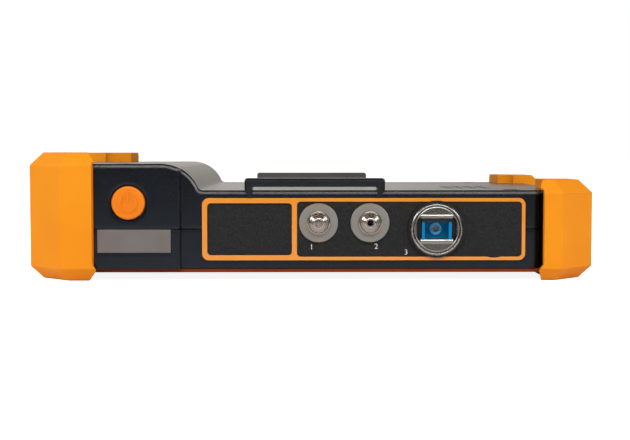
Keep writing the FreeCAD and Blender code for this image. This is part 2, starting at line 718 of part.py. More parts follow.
def plug_port():
    """The well for the square plug: collar, bright ring, housing, coloured shroud and ceramic sleeve."""
    centre = ("plug_place", "plug_level")
    collar = new_body("port_collar")
    pad(collar, "XZ", f"{PANEL_FACE} - 1.2", PANEL_FACE,
        centre + ("collar_radius",), centre + ("ring_radius + thread_gap",))
    ring = new_body("port_ring")
    ring_face = f"({PANEL_FACE} - ring_proud)"
    pad(ring, "XZ", ring_face, f"{PLUG_MOUTH} + 8", centre + ("ring_radius",),
        centre + ("ring_radius - ring_wall",))
    soften("Chamfer", ring, "ring_wall * 0.4", lambda edge: near_to(middle(edge).y, value(ring_face)))
    housing = new_body("plug_housing")
    inside = "(ring_radius - ring_wall - thread_gap)"
    wide, high = "(housing_wide / 2)", "(housing_high / 2)"
    window_wide, window_high = "(plug_wide / 2 + shroud_wall)", "(plug_high / 2)"
    pad(housing, "XZ", PLUG_MOUTH, f"{PLUG_MOUTH} + plug_length", centre + (inside,))
    pocket(housing, "XZ", f"{PLUG_MOUTH} - 1", f"{PLUG_MOUTH} + 3", centre + ("ring_radius",),
           box(f"plug_place - {wide}", f"plug_place + {wide}", f"plug_level - {high}",
               f"plug_level + {high}", "2"))
    pocket(housing, "XZ", f"{PLUG_MOUTH} - 1", f"{PLUG_MOUTH} + plug_length + 1",
           box(f"plug_place - {window_wide}", f"plug_place + {window_wide}", f"plug_level - {window_high}",
               f"plug_level + {window_high}", "0.3"))
    pocket(housing, "XZ", f"{PLUG_MOUTH} + 2", f"{PLUG_MOUTH} + 4",
           ("plug_place", f"plug_level + {high} + 1", "0.7"))
    shroud = new_body("plug_shroud")
    fit = "thread_gap"
    pad(shroud, "XZ", f"{PLUG_MOUTH} + 0.3", f"{PLUG_MOUTH} + plug_length",
        box(f"plug_place - {window_wide} + {fit}", f"plug_place + {window_wide} - {fit}",
            f"plug_level - {window_high} + {fit}", f"plug_level + {window_high} - {fit}", "0.3"))
    pocket(shroud, "XZ", f"{PLUG_MOUTH} - 1", f"{PLUG_MOUTH} + plug_deep",
           box("plug_place - plug_wide / 2", "plug_place + plug_wide / 2", f"plug_level - {window_high} - 1",
               f"plug_level + {window_high} + 1"))
    pocket(shroud, "XZ", f"{PLUG_MOUTH}", f"{PLUG_MOUTH} + plug_length + 1",
           centre + ("plug_sleeve_radius + thread_gap",))
    sleeve = new_body("plug_sleeve")
    pad(sleeve, "XZ", f"{PLUG_MOUTH} + plug_deep - 0.6", f"{PLUG_MOUTH} + plug_length",
        centre + ("plug_sleeve_radius",), centre + ("ferrule_radius",))
    rear = new_body("pigtail_connector")
    pad(rear, "XZ", f"{PLUG_MOUTH} + plug_length", "module_near",
        box("plug_place - plug_wide / 2", "plug_place + plug_wide / 2", "plug_level - 3.7",
            "plug_level + 3.7", "0.8"))


def power_button():
    """The round cap with its inner flange and stem, the switch and the board behind it."""
    flange = f"({BLOCK_FACE} + wall + button_gap)"
    button = new_body("power_button")
    centre = ("button_place", "button_level")
    pad(button, "XZ", f"{BLOCK_FACE} - button_proud", flange, centre + ("button_radius",))
    pad(button, "XZ", flange, f"{flange} + 1", centre + ("button_radius + 1",))
    pad(button, "XZ", f"{flange} + 1", f"{flange} + 3", centre + ("2",))
    soften("Chamfer", button, "0.5",
           lambda edge: near_to(middle(edge).y, value(f"{BLOCK_FACE} - button_proud")))
    switch = new_body("power_switch")
    face = f"({flange} + 3 + button_travel + 0.1)"
    pad(switch, "XZ", face, f"{face} + 0.8", centre + ("1.7",))
    pad(switch, "XZ", f"{face} + 0.8", f"{face} + 4",
        box("button_place - 3", "button_place + 3", "button_level - 3", "button_level + 3", "0.5"))
    board = new_body("switch_board")
    pad(board, "XZ", f"{face} + 4", f"{face} + 4 + board_thick",
        box("button_place - 8", "button_place + 5", FLOOR, "button_level + 6", "0.8"))


def name_plate():
    """The bare metal plate let into the block below the power button."""
    body = new_body("name_plate")
    fit = "panel_fit"
    pad(body, "XZ", BLOCK_FACE, f"{BLOCK_FACE} + plate_thick",
        box(f"plate_left + {fit}", f"plate_right - {fit}", f"plate_low + {fit}", f"{PARTING} - {fit}"))


def loop_screw_places():
    """Where the strap loops are screwed down from inside."""
    return [(x, y) for y in (f"{PORT_FACE} + loop_depth - loop_lap - 2",
                             f"{HALF_Y} - loop_depth + loop_lap + 2")
            for x in ("loop_left + loop_leg / 2", "loop_right - loop_leg / 2")]


def strap_loop(label, outer, inner, face):
    """A bridge over the strap slot whose feet reach over the shell's edge, from outer to inner in depth."""
    body = new_body(label)
    top, foot = f"({BACK} + loop_rise)", f"({BACK} - loop_hang)"
    low, high = (outer, inner) if value(outer) < value(inner) else (inner, outer)
    pad(body, "XZ", low, high, [
        ("loop_left", top, "1"), ("loop_right", top, "1"), ("loop_right", f"{BACK} + 0.4"),
        ("loop_right - loop_leg * 0.6", foot), ("loop_right - loop_leg", foot),
        ("loop_right - loop_leg", f"{top} - loop_bar", "0.8"),
        ("loop_left + loop_leg", f"{top} - loop_bar", "0.8"),
        ("loop_left + loop_leg", foot), ("loop_left + loop_leg * 0.6", foot), ("loop_left", f"{BACK} + 0.4")])
    low, high = (face, f"{inner} + 1") if value(outer) < value(inner) else (f"{inner} - 1", face)
    pocket(body, "XZ", low, high, box("loop_left - 1", "loop_right + 1", f"{foot} - 1", BACK))
    pocket(body, "XY", f"{BACK} - 1", f"{BACK} + small_engage",
           *[(x, y, "small_shank + thread_gap") for x, y in loop_screw_places()
             if (value(y) < 0) == (value(outer) < 0)])
    soften("Chamfer", body, "loop_bevel", lambda edge: near_to(middle(edge).z, value(top))
           and near_to(middle(edge).y, value(outer)))


def bumper(label, side, end, reach, lip, rise, top_of_body):
    """One rubber corner: bevelled lips over and under the body, joined by the faceted wall."""
    body = new_body(label)
    top = f"({top_of_body} + {rise})"
    side_lip = "lip_side" if end < 0 else "lip_far_side"
    across = [f"({side}) * (width / 2 - {inset})" for inset in ("0", "facet", reach, side_lip)]
    along = [f"({end}) * (depth / 2 - {inset})" for inset in ("0", "facet", "reach_side", lip)]
    square_end = [] if end < 0 else [(across[2], along[3])]
    pad(body, "XY", "0", top, [
        (across[2], along[0]), (across[1], along[0]), (across[0], along[1]), (across[0], along[2]),
        (across[3], along[2]), (across[3], along[3], "lip_corner")] + square_end)
    soften("Chamfer", body, "bevel_top", lambda edge: outer_rim(edge, value(top), side, end))
    soften("Chamfer", body, "bevel_low", lambda edge: outer_rim(edge, 0, side, end))
    inner_x, inner_y = f"({side}) * ({HALF_X} + bumper_fit)", f"({end}) * ({HALF_Y} + bumper_fit)"
    pocket(body, "XY", "lip_under", top_of_body,
           [(inner_x, inner_y, "body_corner"), (inner_x, "0"), ("0", "0"), ("0", inner_y)])
    wall_end = f"({side}) * (width / 2 - {reach} + lip_overhang)"
    lip_end = f"({side}) * (width / 2 - {reach} - 1)"
    front, behind = f"({end}) * (depth / 2 + 1)", f"({end}) * (depth / 2 - bumper_end - 0.5)"
    low, high = (front, behind) if end < 0 else (behind, front)
    pocket(body, "XZ", low, high, [
        (wall_end, "lip_under + lip_overhang * 1.5"), (wall_end, f"{top_of_body} + 0.2"),
        (lip_end, f"{top_of_body} + lip_overhang + 0.6"), (lip_end, "lip_under - lip_overhang / 2")])


def outer_rim(edge, level, side, end):
    """Whether an edge is on the outer outline of a corner piece at one level."""
    spot = middle(edge)
    if not near_to(spot.z, level):
        return False
    half_x, half_y, facet = value("width / 2"), value("depth / 2"), value("facet")
    on_side = near_to(side * spot.x, half_x)
    on_end = near_to(end * spot.y, half_y)
    on_facet = near_to(side * spot.x + end * spot.y, half_x + half_y - facet)
    return on_side or on_end or on_facet


def screw(x, y, seat, size, long, up=1):
    """One socket screw standing on its seat, its head above it, or below it where up is -1."""
    head, thick = ("head_radius", "head_thick") if size == "large" else ("small_head", "small_thick")
    shank = "shank_radius" if size == "large" else "small_shank"
    body = new_body("screw", kept=False)
    turn("Revolution", body, "XZ", y, x, seat, [
        ("0", f"{up} * {thick}"), (head, f"{up} * {thick}"), (head, "0"), (shank, "0"),
        (shank, f"{-up} * ({long})"), ("0", f"{-up} * ({long})")])
    flats = [(f"{x} + {head} * 0.5 * cos({angle})", f"{y} + {head} * 0.5 * sin({angle})")
             for angle in range(0, 360, 60)]
    low, high = (f"{seat} + {thick} * 0.4", f"{seat} + {thick} + 1")
    if up < 0:
        low, high = (f"{seat} - {thick} - 1", f"{seat} - {thick} * 0.4")
    pocket(body, "XY", low, high, flats)
    return body


def screws():
    """The housing, board, loop and door screws, each kind one node."""
    seat = f"({PARTING} + seat_thick)"
    group("housing_screws", [screw(x, y, seat, "large", "seat_thick + post_engage - 0.5")
                             for x, y in screw_places()])
    group("board_screws", [screw(x, y, "(board_level + board_thick)", "small",
                                 "board_thick + small_engage - 0.5")
                           for x, y in board_posts()])
    group("loop_screws", [screw(x, y, CEILING, "small", "wall + small_engage - 0.5", -1)
                          for x, y in loop_screw_places()])
    door_seat = f"({BULGE} - door_thick * 0.6)"
    group("door_screws", [screw(DOOR_MIDDLE, y, door_seat, "small",
                                "wall + small_engage - door_thick * 0.6 - 0.3")
                          for y in door_screw_lines()])


def battery():
    """Battery tray under the bulge, the pack in it, and the door."""
    inner = ["door_left + door_ledge", "door_right - door_ledge", "-door_half + door_end",
             "door_half - door_end"]
    ceiling = f"({BULGE} - wall)"
    floor = f"({ceiling} - cell_thick - cell_gap)"
    tray = new_body("battery_tray")
    wall = "tray_wall"
    pad(tray, "XY", f"{floor} - {wall}", ceiling,
        box(f"{inner[0]} - {wall}", f"{inner[1]} + {wall}", f"{inner[2]} - {wall}", f"{inner[3]} + {wall}",
            "2.5"))
    pocket(tray, "XY", floor, ceiling, box(*inner, "1.5"))
    pack = new_body("battery_pack")
    pad(pack, "XY", floor, f"{floor} + cell_thick",
        box(f"{inner[0]} + cell_gap", f"{inner[1]} - cell_gap", f"{inner[2]} + cell_gap",
            f"{inner[3]} - cell_gap", "3"))
    door = new_body("battery_door")
    gap = "door_gap"
    pad(door, "XY", f"{BULGE} - door_thick", BULGE,
        box(f"door_left + {gap}", f"door_right - {gap}", f"-door_half + {gap}", f"door_half - {gap}",
            "3 - door_gap"))
    pocket(door, "XY", f"{BULGE} - door_thick * 0.6", f"{BULGE} + 1",
           *[(DOOR_MIDDLE, y, "small_head + 0.2") for y in door_screw_lines()])
    pocket(door, "XY", f"{BULGE} - door_thick - 1", f"{BULGE} + 1",
           *[(DOOR_MIDDLE, y, "small_shank + 0.2") for y in door_screw_lines()])
    groove = pocket(door, "XY", f"{BULGE} - 0.5", f"{BULGE} + 1",
                    box(f"{DOOR_MIDDLE} - 8", f"{DOOR_MIDDLE} + 8", "-door_half + 14", "-door_half + 15.2",
                        "0.5"))
    repeat(door, groove, "V_Axis", "10", "5")


def boards():
    """The main board, the optical module on it, the two light parts behind the adapters and the speaker."""
    top = "(board_level + board_thick)"
    board = new_body("main_board")
    slot, edge = "(collar_radius + 1.2)", "(-board_half + 10)"
    pad(board, "XY", "board_level", top, [
        ("board_left", "-board_half", "1"), (f"plug_place - {slot}", "-board_half"),
        (f"plug_place - {slot}", edge), (f"plug_place + {slot}", edge),
        (f"plug_place + {slot}", "-board_half"), ("board_right", "-board_half", "1"),
        ("board_right", "board_half", "1"), ("board_left", "board_half", "1")])
    pocket(board, "XY", "board_level - 1", f"{top} + 1",
           *[(x, y, "small_shank + 0.2") for x, y in board_posts()])
    module = new_body("optical_module")
    pad(module, "XY", top, f"{top} + module_high",
        box("module_left", "module_right", "module_near", "module_near + module_deep", "2"))
    rib = pad(module, "XY", f"{top} + module_high", f"{top} + module_high + 0.8",
              box("module_left + 5", "module_left + 7", "module_near + 6", "module_near + module_deep - 6",
                  "0.8"))
    repeat(module, rib, "H_Axis", "module_right - module_left - 12", "8")
    coil = new_body("fibre_spool")
    turn("Revolution", coil, "XZ", "coil_along", "coil_place", top, [
        ("coil_radius - 8", "0"), ("coil_radius", "0"), ("coil_radius", "1"), ("coil_radius - 6", "1"),
        ("coil_radius - 6", "coil_high - 1"), ("coil_radius", "coil_high - 1"), ("coil_radius", "coil_high"),
        ("coil_radius - 8", "coil_high")])
    fibre = new_body("fibre_coil")
    turn("Revolution", fibre, "XZ", "coil_along", "coil_place", top, box(
        "coil_radius - 5.9", "coil_radius - 1", "1.1", "coil_high - 1.1"))
    tail = f"({PANEL_FACE} - flange_thick - adapter_proud + adapter_length)"
    source = new_body("light_source")
    pad(source, "XZ", tail, f"{tail} + 9", ("source_place", "adapter_level", "3.6"))
    pad(source, "XZ", f"{tail} + 9", f"{tail} + 10.2", ("source_place", "adapter_level", "2.8"))
    detector = new_body("light_detector")
    pad(detector, "XZ", tail, f"{tail} + 1", ("meter_place", "adapter_level", "4.4"))
    pad(detector, "XZ", f"{tail} + 1", f"{tail} + 4.6", ("meter_place", "adapter_level", "3.6"))
    speaker = new_body("speaker")
    pad(speaker, "XY", f"{CEILING} - 4.5", CEILING,
        box("grille_left - 2", "grille_left + slot_pitch_across * 3 + slot_long + 2", "grille_near - 3",
            "grille_near + slot_pitch_along * 6 + 3", "5"))
    pocket(speaker, "XY", f"{CEILING} - 1.2", CEILING,
           box("grille_left - 1", "grille_left + slot_pitch_across * 3 + slot_long + 1", "grille_near - 2",
               "grille_near + slot_pitch_along * 6 + 2", "4"))


def sockets():
    """The sockets of the side bay, standing on the key board behind their panel."""
    face, back = "socket_face", "(socket_face - socket_panel)"
    panel = new_body("socket_panel")
    pad(panel, "YZ", back, face, box("-bay_half - 1.5", "bay_half + 1.5", FLOOR, CEILING, "0.5"))
    lan = ("(-bay_half + lan_start)", "(-bay_half + lan_start + lan_wide)", KEY_BOARD_TOP,
           f"({KEY_BOARD_TOP} + 13.4)")
    usb = [(f"(-bay_half + {start})", f"(-bay_half + {start} + usb_wide)", KEY_BOARD_TOP,
            f"({KEY_BOARD_TOP} + 5.8)")
           for start in ("usb_start", "usb_start + usb_pitch")]
    jack = ("(-bay_half + jack_start)", "(-bay_half + jack_start + jack_wide)", KEY_BOARD_TOP,
            f"({KEY_BOARD_TOP} + 11)")
    fit = "panel_fit"
    pocket(panel, "YZ", f"{back} - 1", f"{face} + 1",
           *[box(f"{left} - {fit}", f"{right} + {fit}", f"{low} - {fit}", f"{high} + {fit}")
             for left, right, low, high in (lan, *usb, jack)])
    body = new_body("lan_socket")
    left, right, low, high = lan
    pad(body, "YZ", f"{face} - 20.4", face, box(left, right, low, high, "0.3"))
    middle_y = f"(({left} + {right}) / 2)"
    pocket(body, "YZ", f"{face} - 13", f"{face} + 1",
           box(f"{middle_y} - 5.9", f"{middle_y} + 5.9", f"{low} + 4.4", f"{high} - 1.8"))
    pocket(body, "YZ", f"{face} - 13", f"{face} + 1",
           box(f"{middle_y} - 3.1", f"{middle_y} + 3.1", f"{low} + 2", f"{high} - 3"))
    pair = []
    for left, right, low, high in usb:
        shell = new_body("usb_socket", kept=False)
        pad(shell, "YZ", f"{face} - 14", face, box(left, right, low, high, "0.4"))
        pocket(shell, "YZ", f"{face} - 12", f"{face} + 1",
               box(f"{left} + 0.5", f"{right} - 0.5", f"{low} + 0.5", f"{high} - 0.5"))
        pad(shell, "YZ", f"{face} - 12", f"{face} - 1",
            box(f"{left} + 1.2", f"{right} - 1.2", f"{high} - 2.7", f"{high} - 1"))
        pair.append(shell)
    group("usb_sockets", pair)
    left, right, low, high = jack
    centre = (f"(({left} + {right}) / 2)", f"(({low} + {high}) / 2)")
    power = new_body("charge_socket")
    pad(power, "YZ", f"{face} - 13", face, box(left, right, low, high, "0.5"))
    pocket(power, "YZ", f"{face} - 9", f"{face} + 1", centre + ("3.1",))
    pad(power, "YZ", f"{face} - 9.5", f"{face} - 1", centre + ("1",))


def side_flap():
    """The flap over the side sockets, hung from a pin in the shell along its upper edge."""
    flap = new_body("side_flap")
    ends, low = "(bay_half - flap_gap)", "(bay_low + flap_gap)"
    across, up = HINGE
    pad(flap, "YZ", f"{HALF_X} - flap_thick", HALF_X, box(f"-{ends}", ends, low, up))
    pad(flap, "XZ", f"-{ends}", ends, (across, up, "hinge_radius"))
    pad(flap, "YZ", f"{HALF_X} - flap_thick / 2", f"{HALF_X} + 1", box("-6", "6", low, f"{low} + 1.6", "0.4"))
    pocket(flap, "XZ", f"-{ends} - 1", f"{ends} + 1", (across, up, "hinge_pin + 0.1"))
    pin = new_body("hinge_pin")
    pad(pin, "XZ", "-bay_half - hinge_seat + 0.2", "bay_half + hinge_seat - 0.2", (across, up, "hinge_pin"))


front_shell()
back_shell()
front_trim()
screen()
keys()
port_frame()
port_panels()
ferrule_port("source", "source_place")
ferrule_port("meter", "meter_place")
plug_port()
power_button()
name_plate()
strap_loop("strap_loop_near", f"({PORT_FACE} - loop_lap)", f"({PORT_FACE} - loop_lap + loop_depth)",
           PORT_FACE)
strap_loop("strap_loop_far", f"({HALF_Y} + loop_lap)", f"({HALF_Y} + loop_lap - loop_depth)", HALF_Y)
bumper("bumper_near_left", -1, -1, "reach_near_left", "lip_near", "lip_over_left", BULGE)
bumper("bumper_near_right", 1, -1, "reach_near_right", "lip_near", "lip_over_right", BACK)
bumper("bumper_far_left", -1, 1, "reach_far_left", "lip_far", "lip_over_left", BULGE)
bumper("bumper_far_right", 1, 1, "reach_far_right", "lip_far", "lip_over_right", BACK)
screws()
battery()
boards()
sockets()
side_flap()

doc.recompute()
for item in doc.Objects:
    if {"Invalid", "Error"} & set(item.State):
        raise RuntimeError(f"{item.Label} failed: {item.State}")
    if item.TypeId == "PartDesign::Pocket" and item.Shape.Volume >= item.BaseFeature.Shape.Volume - 1e-6:
        raise RuntimeError(f"{item.Label} cuts nothing")
for item in nodes:
    if item.Shape.isNull() or not item.Shape.isValid():
        raise RuntimeError(f"{item.Label} is not a valid solid")

os.makedirs("parts", exist_ok=True)
for item in nodes:
    item.Shape.exportStep(f"parts/{item.Label}.step")
    bounds = item.Shape.BoundBox
    print(item.Label, len(item.Shape.Solids), round(item.Shape.Volume, 1), [round(v, 2) for v in
          (bounds.XMin, bounds.XMax, bounds.YMin, bounds.YMax, bounds.ZMin, bounds.ZMax)])
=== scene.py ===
import json
import math

import bpy
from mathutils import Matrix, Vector


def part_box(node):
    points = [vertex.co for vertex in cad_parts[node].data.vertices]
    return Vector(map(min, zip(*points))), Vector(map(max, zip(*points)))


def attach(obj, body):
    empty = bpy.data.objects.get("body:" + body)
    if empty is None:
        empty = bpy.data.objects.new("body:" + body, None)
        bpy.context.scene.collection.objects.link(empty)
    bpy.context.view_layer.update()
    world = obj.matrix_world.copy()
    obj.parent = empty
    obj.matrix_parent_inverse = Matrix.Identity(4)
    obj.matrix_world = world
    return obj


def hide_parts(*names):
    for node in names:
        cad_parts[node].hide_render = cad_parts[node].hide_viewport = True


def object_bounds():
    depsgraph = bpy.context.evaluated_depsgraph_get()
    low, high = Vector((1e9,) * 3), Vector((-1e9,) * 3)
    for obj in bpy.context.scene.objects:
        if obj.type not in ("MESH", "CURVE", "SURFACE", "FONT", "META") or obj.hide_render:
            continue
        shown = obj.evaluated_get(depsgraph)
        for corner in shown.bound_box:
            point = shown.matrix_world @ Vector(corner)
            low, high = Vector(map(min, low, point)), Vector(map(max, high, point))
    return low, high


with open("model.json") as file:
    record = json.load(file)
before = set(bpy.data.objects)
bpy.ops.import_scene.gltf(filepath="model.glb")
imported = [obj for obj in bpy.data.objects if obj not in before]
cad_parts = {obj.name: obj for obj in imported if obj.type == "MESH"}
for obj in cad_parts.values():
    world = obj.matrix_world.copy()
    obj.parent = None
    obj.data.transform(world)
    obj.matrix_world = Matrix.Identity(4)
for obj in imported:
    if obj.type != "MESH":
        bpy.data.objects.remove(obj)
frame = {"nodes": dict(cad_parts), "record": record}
cad_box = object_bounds()


# Shells: two halves injection moulded in black ABS, which meet round the middle of the edge and are held
# by long screws in wells in the back. The tool's fine spark finish gives an even grain and a satin gloss,
# the joint shows as a thin dark line, and a pale highlight is painted low on the rounded edges under the top
# faces.
MM = 0.001


def linear(code):
    """An sRGB hex colour as the linear values that a shader wants."""
    parts = [int(code[i:i + 2], 16) / 255 for i in (1, 3, 5)]
    return [*(c / 12.92 if c <= 0.04045 else ((c + 0.055) / 1.055) ** 2.4 for c in parts), 1.0]


def new_material(name):
    """A node material and the surface shader it ends in."""
    material = bpy.data.materials.new(name)
    material.use_nodes = True
    return material, material.node_tree.nodes["Principled BSDF"]


def feed(material, node, inputs):
    """Gives a node's inputs values, or links them to the sockets that feed them."""
    for name, value in inputs.items():
        if isinstance(value, bpy.types.NodeSocket):
            material.node_tree.links.new(value, node.inputs[name])
        else:
            node.inputs[name].default_value = value


def add(material, kind, inputs=None, **settings):
    """One more node, with its properties set by name and its inputs fed."""
    node = material.node_tree.nodes.new("ShaderNode" + kind)
    for name, value in settings.items():
        setattr(node, name, value)
    feed(material, node, inputs or {})
    return node


def speckle(material, grain_mm, detail=2.0):
    """Noise whose features are grain_mm across on the piece itself."""
    place = add(material, "TexCoord").outputs["Object"]
    return add(material, "TexNoise", {"Vector": place, "Scale": 1 / (grain_mm * MM),
                                      "Detail": detail}).outputs["Fac"]


def blend(material, factor, first, second, low=0.35, high=0.65):
    """Two colours mixed by a factor between its low and its high value."""
    ramp = add(material, "ValToRGB", {"Fac": factor})
    for stop, position, colour in zip(ramp.color_ramp.elements, (low, high), (first, second)):
        stop.position = position
        stop.color = linear(colour)
    return ramp.outputs["Color"]


def levels(material, factor, *stops):
    """A value that runs straight from stop to stop, each a (factor, value)."""
    ramp = add(material, "ValToRGB", {"Fac": factor})
    for count, (position, level) in enumerate(stops):
        stop = ramp.color_ramp.elements[count] if count < 2 else ramp.color_ramp.elements.new(position)
        stop.position = position
        stop.color = (level, level, level, 1)
    return ramp.outputs["Color"]


def spread(material, factor, low, high):
    """A noise factor stretched over a range of values."""
    return add(material, "MapRange", {"Value": factor, "From Min": 0.3, "From Max": 0.7, "To Min": low,
                                      "To Max": high}).outputs["Result"]


def relief(material, height, depth_mm, strength=0.7, under=None):
    """A normal that follows a height, over the plain surface or over another normal."""
    bump = add(material, "Bump", {"Height": height, "Strength": strength, "Distance": depth_mm * MM})
    feed(material, bump, {"Normal": under} if under else {})
    return bump.outputs["Normal"]


def moulded(name, dark, light, rough, grain_mm=0.5, depth_mm=0.02, cloud_mm=25, shine=0.5):
    """A moulded plastic: two close tones in wide clouds, and an even grain in relief and in gloss."""
    material, shader = new_material(name)
    grain = speckle(material, grain_mm)
    feed(material, shader, {"Base Color": blend(material, speckle(material, cloud_mm), dark, light),
                            "Roughness": spread(material, grain, rough * 0.85, rough * 1.15), "IOR": 1.5,
                            "Specular IOR Level": shine, "Normal": relief(material, grain, depth_mm)})
    return material


def beyond(material, distance, edge, fade):
    """0 up to an edge, and 1 from a fade past it."""
    return add(material, "MapRange", {"Value": distance, "From Min": edge,
                                      "From Max": edge + fade}).outputs["Result"]


def band(material, axis, plane, half_mm, edge_mm=0.1):
    """0 within half_mm of a plane across an axis, and 1 away from it."""
    place = add(material, "SeparateXYZ", {0: add(material, "TexCoord").outputs["Object"]}).outputs[axis]
    off = add(material, "Math", {0: place, 1: plane}, operation="SUBTRACT").outputs[0]
    off = add(material, "Math", {0: off}, operation="ABSOLUTE").outputs[0]
    return beyond(material, off, half_mm * MM, edge_mm * MM)


def middle(node):
    """The middle of a CAD node's box."""
    low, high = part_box(node)
    return (low + high) / 2


def dress(material, *names):
    """Gives CAD nodes a material."""
    for name in names:
        faces = frame["nodes"][name].data
        faces.materials.clear()
        faces.materials.append(material)


shell_abs, shader = new_material("Moulded black ABS")
grain = speckle(shell_abs, 0.4)
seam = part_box("front_shell")[1].z
joint = band(shell_abs, "Z", seam, 0.2)
height = add(shell_abs, "Math", {0: grain, 1: 0.06, 2: joint}, operation="MULTIPLY_ADD").outputs[0]
rounded = add(shell_abs, "Bevel", {"Radius": 2.1 * MM}, samples=8).outputs["Normal"]

# Tilt is 0 on a wall and 1 on a face that looks up. A pale painted highlight lies low on the rounded edge,
# where the round turns up towards the lamps, and stays off the button's surround and the seam. The rest of
# the round is duller than both flats.
tilt = add(shell_abs, "SeparateXYZ", {0: rounded}).outputs["Z"]
line = levels(shell_abs, tilt, (0.11, 0), (0.18, 1), (0.27, 1), (0.35, 0))
gloss = levels(shell_abs, tilt, (0.27, 0.6), (0.38, 0.08), (0.9, 0.08), (0.97, 0.6))
surround, seam_clear, fade = 10 * MM, 2 * MM, 1 * MM
cap = middle("power_button")
place = add(shell_abs, "TexCoord").outputs["Object"]
flat = add(shell_abs, "VectorMath", {0: place, 1: (1, 0, 1)}, operation="MULTIPLY").outputs[0]
away = add(shell_abs, "VectorMath", {0: flat, 1: (cap.x, 0, cap.z)}, operation="DISTANCE").outputs["Value"]
off_button = beyond(shell_abs, away, surround, fade)
up = add(shell_abs, "SeparateXYZ", {0: place}).outputs["Z"]
off_seam = beyond(shell_abs, up, seam + seam_clear, fade)
painted_highlight = add(shell_abs, "Math", {0: off_button, 1: off_seam}, operation="MULTIPLY").outputs[0]
painted_highlight = add(shell_abs, "Math", {0: line, 1: painted_highlight}, operation="MULTIPLY").outputs[0]

tone = blend(shell_abs, speckle(shell_abs, 25), "#0a0d11", "#0e1216")
tone = add(shell_abs, "Mix", {0: joint, 6: linear("#020203"), 7: tone}, data_type="RGBA").outputs[2]
# The pale colour mixed in here is a painted highlight along the upturned rounded edges.
tone = add(shell_abs, "Mix", {0: painted_highlight, 6: tone, 7: linear("#989494")}, data_type="RGBA").outputs[2]
feed(shell_abs, shader, {"Base Color": tone, "Roughness": spread(shell_abs, grain, 0.2, 0.28), "IOR": 1.5,
                         "Specular IOR Level": gloss, "Specular Tint": linear("#c8d2e4"),
                         "Normal": relief(shell_abs, height, 0.15, 0.8, rounded)})
dress(shell_abs, "front_shell", "back_shell")


# Trim and screen: an orange ABS rim pressed into the screen side, and a touch glass bonded in its recess
# over the display, black round the edge where it is printed from behind. The glass is the glossiest
# face of all, and the rim is dull, its orange darkened as painted shade for the shadow it sits in under the
# body.
def select_only(piece):
    """Leaves one piece selected and active, and nothing else."""
    bpy.ops.object.select_all(action="DESELECT")
    piece.select_set(True)
    bpy.context.view_layer.objects.active = piece


def finish(piece, material, node, stands_for=True, angle=35):
    """Puts a piece's place in its mesh, smooths and dresses it, and ties it to the CAD node it belongs to."""
    select_only(piece)
    bpy.ops.object.transform_apply(location=True, rotation=True, scale=True)
    bpy.ops.object.shade_smooth_by_angle(angle=math.radians(angle))
    flats = piece.modifiers.new("flats", "WEIGHTED_NORMAL")
    flats.keep_sharp = True
    bpy.ops.object.modifier_apply(modifier="flats")
    piece.data.materials.clear()
    piece.data.materials.append(material)
    record = frame["record"]
    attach(piece, next(body for body, names in record["behaviour"]["bodies"].items() if node in names))
    if stands_for:
        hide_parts(node)


def round_edges(piece, width_mm, segments=2, angle=30):
    """Rounds a piece's sharp edges with a bevel, which is applied."""
    select_only(piece)
    bevel = piece.modifiers.new("round", "BEVEL")
    bevel.width = width_mm * MM
    bevel.segments = segments
    bevel.limit_method = "ANGLE"
    bevel.angle_limit = math.radians(angle)
    bpy.ops.object.modifier_apply(modifier="round")


def softened(node, width_mm, material, segments=2, angle=30):
    """Stands for a CAD node with a copy of it whose edges are rounded, as moulding leaves them."""
    select_only(frame["nodes"][node])
    piece = frame["nodes"][node].copy()
    piece.data = piece.data.copy()
    piece.parent = None
    piece.name = "soft_" + node
    bpy.context.scene.collection.objects.link(piece)
    select_only(piece)
    bpy.ops.object.mode_set(mode="EDIT")
    bpy.ops.mesh.select_all(action="SELECT")
    bpy.ops.mesh.remove_doubles(threshold=0.002 * MM)
    bpy.ops.mesh.customdata_custom_splitnormals_clear()
    bpy.ops.mesh.dissolve_limited(angle_limit=math.radians(0.5))
    bpy.ops.object.mode_set(mode="OBJECT")
    round_edges(piece, width_mm, segments, angle)
    finish(piece, material, node)


# The rim's dark orange is painted shade, for the shadow under the body.
shaded_rim_abs = moulded("Matt orange ABS with painted shade", "#7f3008", "#88350a", 0.5, 0.4, 0.005, shine=0.15)
softened("front_trim", 0.3, shaded_rim_abs)

glass, shader = new_material("Touch glass")
low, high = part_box("touch_glass")
edges = [band(glass, axis, middle("touch_glass")[i], (high[i] - low[i]) / 2 / MM - printed_mm, 0.3)
         for i, axis, printed_mm in ((0, "X", 9), (1, "Y", 7))]
border = add(glass, "Math", {0: edges[0], 1: edges[1]}, operation="MAXIMUM").outputs[0]
feed(glass, shader, {"Base Color": blend(glass, border, "#16191d", "#050506", 0, 1), "Roughness": 0.05,
                     "IOR": 1.52, "Coat Weight": 1.0, "Coat Roughness": 0.03})
dress(glass, "touch_glass")
dress(moulded("Painted steel display frame", "#3a3d40", "#45484b", 0.4, 0.3), "display_module")


# Keys: five caps of dark silicone rubber on one mat, over domes on a small board beside the screen, with
# two light guides beyond the last. Rubber is dull and slightly dusty, and each cap has a pale printed mark.
def begin(name, primitive, **settings):
    """A named primitive, added with nothing else selected."""
    bpy.ops.object.select_all(action="DESELECT")
    primitive(**settings)
    piece = bpy.context.object
    piece.name = name
    return piece


